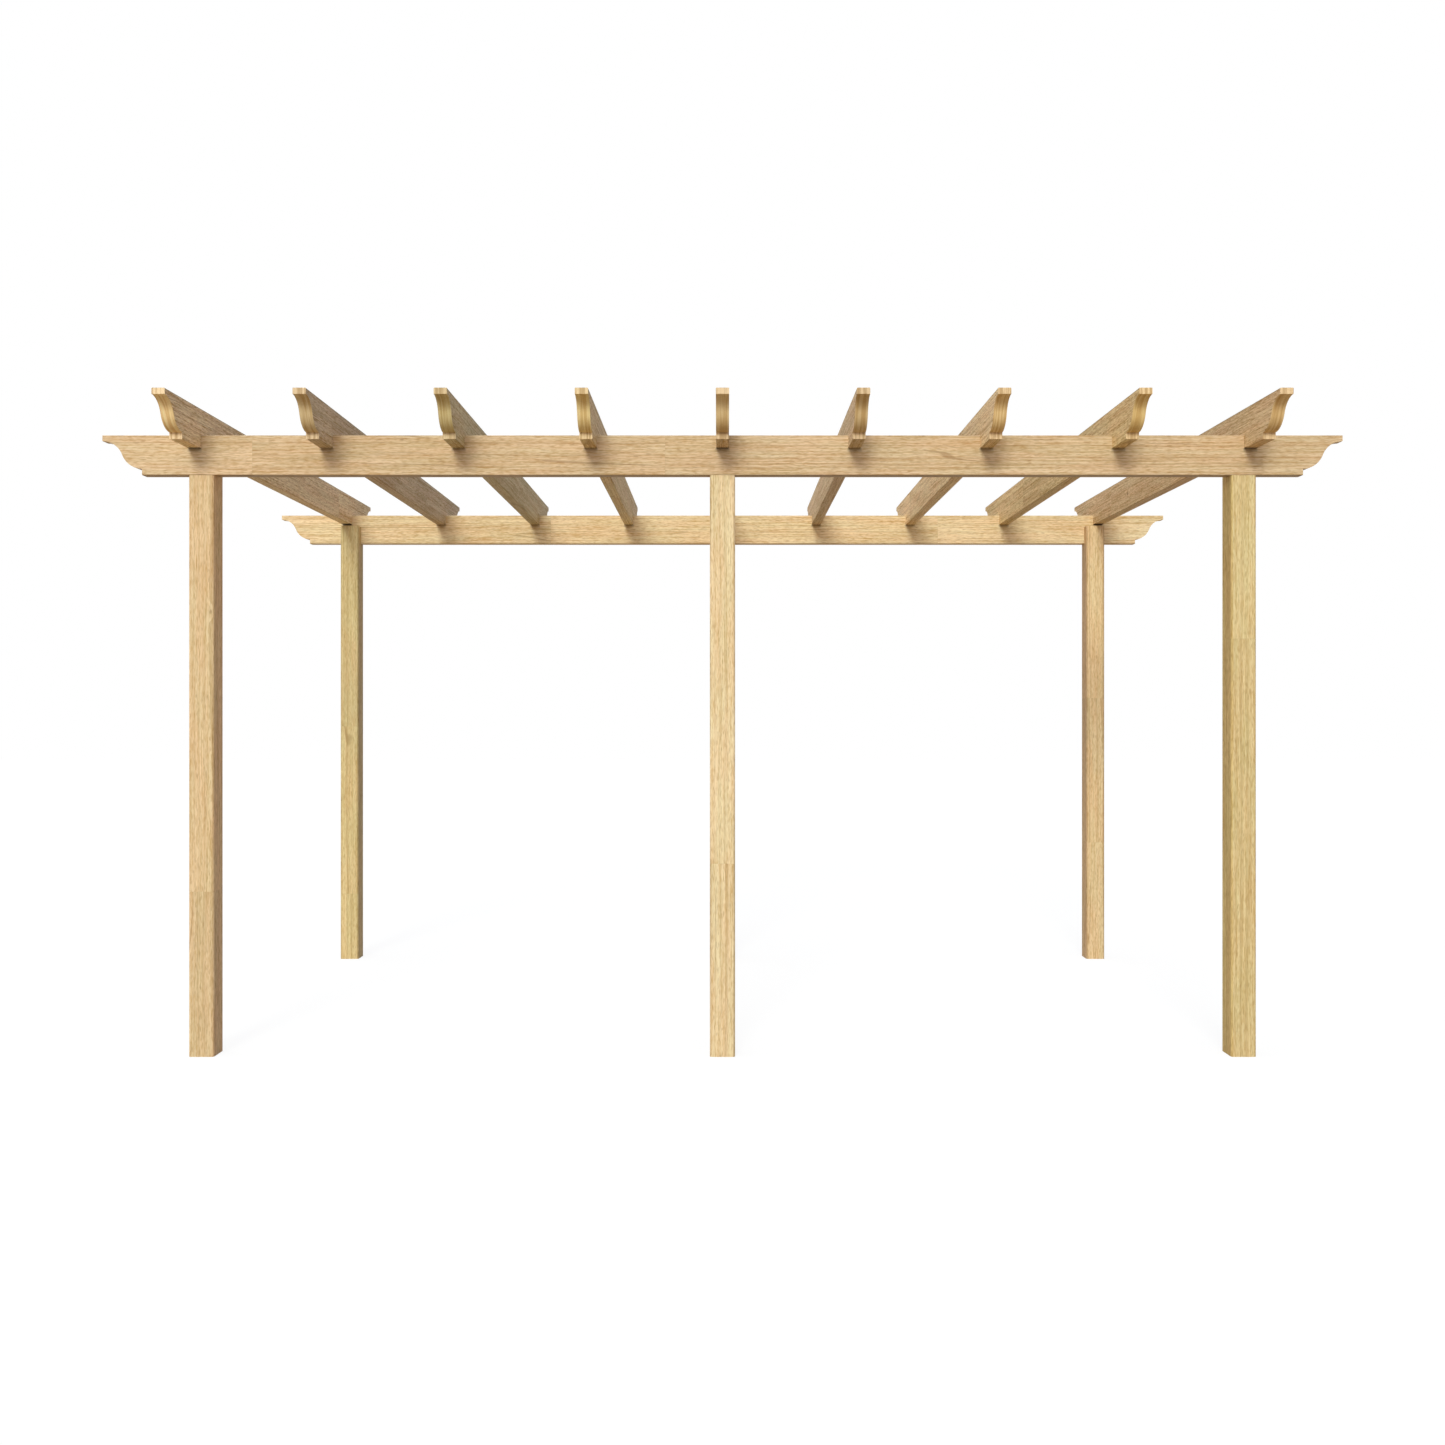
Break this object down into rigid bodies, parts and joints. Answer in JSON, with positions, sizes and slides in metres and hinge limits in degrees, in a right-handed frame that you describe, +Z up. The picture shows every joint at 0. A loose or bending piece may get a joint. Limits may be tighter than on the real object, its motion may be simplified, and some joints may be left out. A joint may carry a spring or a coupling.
{
  "type": "wooden pergola",
  "caption": "Free-standing timber pergola: square posts housed around long beams that carry evenly spaced notched rafters, all beams and rafters with ogee moulded ends.",
  "frame": {"origin": "on the ground, in the middle of the frame of posts", "axes": "+X along the beams towards the right, +Y from the front row of posts to the rear row, +Z up"},
  "size_m": [4.668, 2.694, 2.44],
  "materials": {
    "post_timber": "planed softwood",
    "beam_timber": "planed softwood",
    "rafter_timber": "planed softwood"
  },
  "bodies": {
    "root": {"beam_front": "beam_timber", "beam_rear": "beam_timber", "post_front_centre": "post_timber", "post_front_left": "post_timber", "post_front_right": "post_timber", "post_rear_centre": "post_timber", "post_rear_left": "post_timber", "post_rear_right": "post_timber", "rafter_1": "rafter_timber", "rafter_2": "rafter_timber", "rafter_3": "rafter_timber", "rafter_4": "rafter_timber", "rafter_5": "rafter_timber", "rafter_6": "rafter_timber", "rafter_7": "rafter_timber", "rafter_8": "rafter_timber", "rafter_9": "rafter_timber"}
  },
  "joints": []
}
